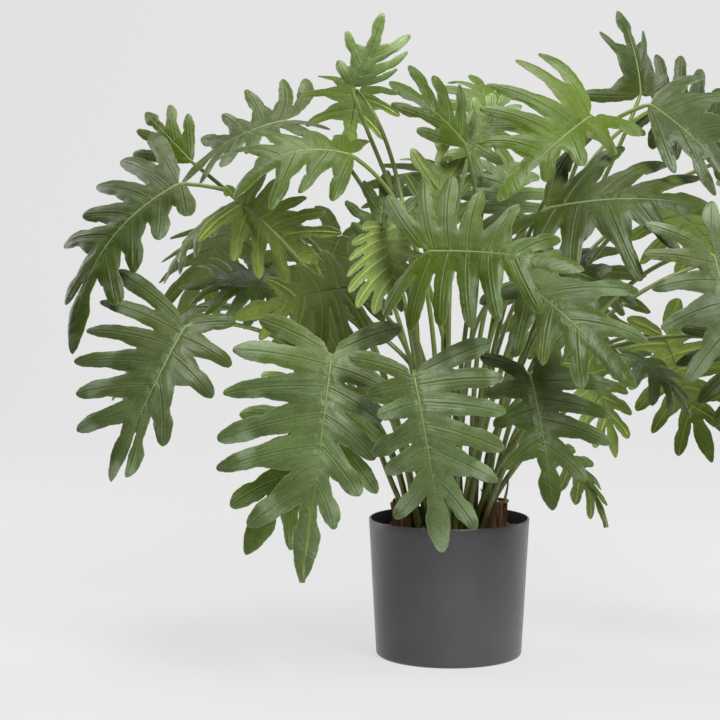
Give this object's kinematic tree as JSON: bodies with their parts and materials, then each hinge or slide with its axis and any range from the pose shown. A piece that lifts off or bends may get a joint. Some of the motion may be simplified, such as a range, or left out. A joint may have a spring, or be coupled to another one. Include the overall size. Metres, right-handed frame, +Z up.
{
  "type": "potted split-leaf philodendron",
  "caption": "Bushy split-leaf plant with deeply cut drooping leaves on long arching stalks, standing in a plain round tapered pot filled with soil.",
  "frame": {"origin": "middle of the pot's underside, on the surface that it stands on", "axes": "+Z up along the pot's axis; +Y away from the side that is seen from the front, with +X to the right of it"},
  "size_m": [0.7972, 0.5829, 0.6475],
  "materials": {
    "pot": "satin charcoal plastic, slightly paler rim",
    "soil": "dark reddish brown fibrous soil",
    "sheath": "brown fibrous old leaf bases",
    "leaf_dark": "satin gloss, dark green upper side with paler edges and veins",
    "leaf_mid": "satin gloss, mid green upper side with paler edges and veins",
    "leaf_light": "satin gloss, light green upper side with yellow-green veins",
    "leaf_grey": "satin gloss, grey-green upper side with a soft sheen",
    "leaf_under": "satin, yellow-green, leaves that turn their underside to the front",
    "leaf_pale": "satin, pale green underside"
  },
  "bodies": {
    "root": {"pot": "pot", "soil": "soil", "sheath_left": "sheath", "sheath_middle": "sheath", "sheath_right": "sheath", "leaf_01": "leaf_mid", "leaf_02": "leaf_mid", "leaf_03": "leaf_dark", "leaf_04": "leaf_dark", "leaf_05": "leaf_light", "leaf_06": "leaf_grey", "leaf_07": "leaf_grey", "leaf_08": "leaf_light", "leaf_09": "leaf_dark", "leaf_10": "leaf_light", "leaf_11": "leaf_under", "leaf_12": "leaf_under", "leaf_13": "leaf_dark", "leaf_14": "leaf_under", "leaf_15": "leaf_mid", "leaf_16": "leaf_grey", "leaf_17": "leaf_pale", "leaf_18": "leaf_light", "leaf_19": "leaf_pale", "leaf_20": "leaf_pale", "leaf_21": "leaf_mid", "leaf_22": "leaf_grey", "leaf_23": "leaf_mid", "leaf_24": "leaf_dark", "leaf_25": "leaf_dark", "leaf_26": "leaf_grey", "leaf_27": "leaf_dark", "leaf_28": "leaf_dark", "leaf_29": "leaf_mid", "leaf_30": "leaf_under", "leaf_31": "leaf_pale", "leaf_32": "leaf_pale", "leaf_33": "leaf_dark", "leaf_34": "leaf_mid", "leaf_35": "leaf_dark", "leaf_36": "leaf_mid", "leaf_37": "leaf_dark", "leaf_38": "leaf_mid", "leaf_39": "leaf_mid", "leaf_40": "leaf_dark", "leaf_41": "leaf_mid", "leaf_42": "leaf_mid", "leaf_43": "leaf_light", "leaf_44": "leaf_mid"}
  },
  "joints": []
}
